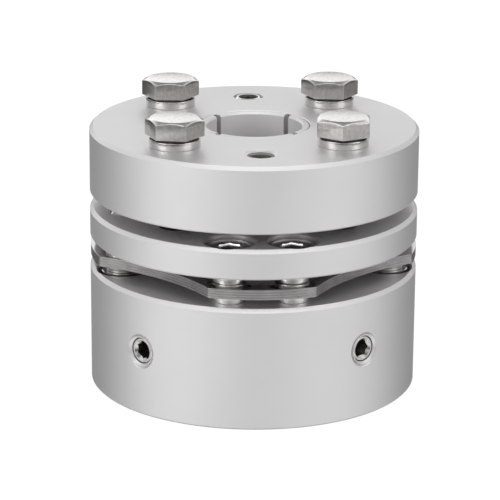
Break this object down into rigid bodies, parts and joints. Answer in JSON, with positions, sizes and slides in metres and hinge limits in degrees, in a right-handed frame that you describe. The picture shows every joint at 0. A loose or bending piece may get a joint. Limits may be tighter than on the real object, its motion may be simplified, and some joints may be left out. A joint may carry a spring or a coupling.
{
  "type": "disc coupling",
  "caption": "Flexible disc shaft coupling: a plain hub with set screws and a slotted sleeve hub under a tapered clamp ring, joined by a thin steel disc pack.",
  "frame": {"origin": "centre of the lower hub's bottom face, on the shaft axis", "axes": "+Z along the shaft axis, from the plain hub to the clamp ring; -Y is the front, the side of one jack screw, with one set screw 45 degrees to its left and one 38 degrees to its right"},
  "size_m": [0.065, 0.065, 0.0576],
  "materials": {
    "anodised_aluminium": "matte silver anodised over fine turning lines",
    "stainless_sheet": "cold rolled stainless sheet, sheared edges",
    "turned_stainless": "bright turned stainless",
    "stainless_bolt": "cold forged stainless, brushed flats",
    "spring_steel": "bright stainless spring wire, pressed flat",
    "stainless_screw": "cold forged stainless",
    "polished_screw": "bright polished steel"
  },
  "bodies": {
    "root": {"clamp_bolt_back_left": "stainless_bolt", "clamp_bolt_back_right": "stainless_bolt", "clamp_bolt_front_left": "stainless_bolt", "clamp_bolt_front_right": "stainless_bolt", "clamp_ring": "anodised_aluminium", "disc_1": "stainless_sheet", "disc_2": "stainless_sheet", "disc_3": "stainless_sheet", "disc_4": "stainless_sheet", "jack_screw_back": "polished_screw", "jack_screw_front": "polished_screw", "lower_hub": "anodised_aluminium", "lower_spacer_back_left": "turned_stainless", "lower_spacer_back_right": "turned_stainless", "lower_spacer_front_left": "turned_stainless", "lower_spacer_front_right": "turned_stainless", "lower_spacer_left_back": "turned_stainless", "lower_spacer_left_front": "turned_stainless", "lower_spacer_right_back": "turned_stainless", "lower_spacer_right_front": "turned_stainless", "pack_screw_back_left": "stainless_screw", "pack_screw_back_right": "stainless_screw", "pack_screw_front_left": "stainless_screw", "pack_screw_front_right": "stainless_screw", "pack_screw_left_back": "stainless_screw", "pack_screw_left_front": "stainless_screw", "pack_screw_right_back": "stainless_screw", "pack_screw_right_front": "stainless_screw", "set_screw_left": "polished_screw", "set_screw_right": "polished_screw", "spring_washer_back_left": "spring_steel", "spring_washer_back_right": "spring_steel", "spring_washer_front_left": "spring_steel", "spring_washer_front_right": "spring_steel", "upper_hub": "anodised_aluminium", "upper_spacer_back_left": "turned_stainless", "upper_spacer_back_right": "turned_stainless", "upper_spacer_front_left": "turned_stainless", "upper_spacer_front_right": "turned_stainless", "upper_spacer_left_back": "turned_stainless", "upper_spacer_left_front": "turned_stainless", "upper_spacer_right_back": "turned_stainless", "upper_spacer_right_front": "turned_stainless"}
  },
  "joints": []
}
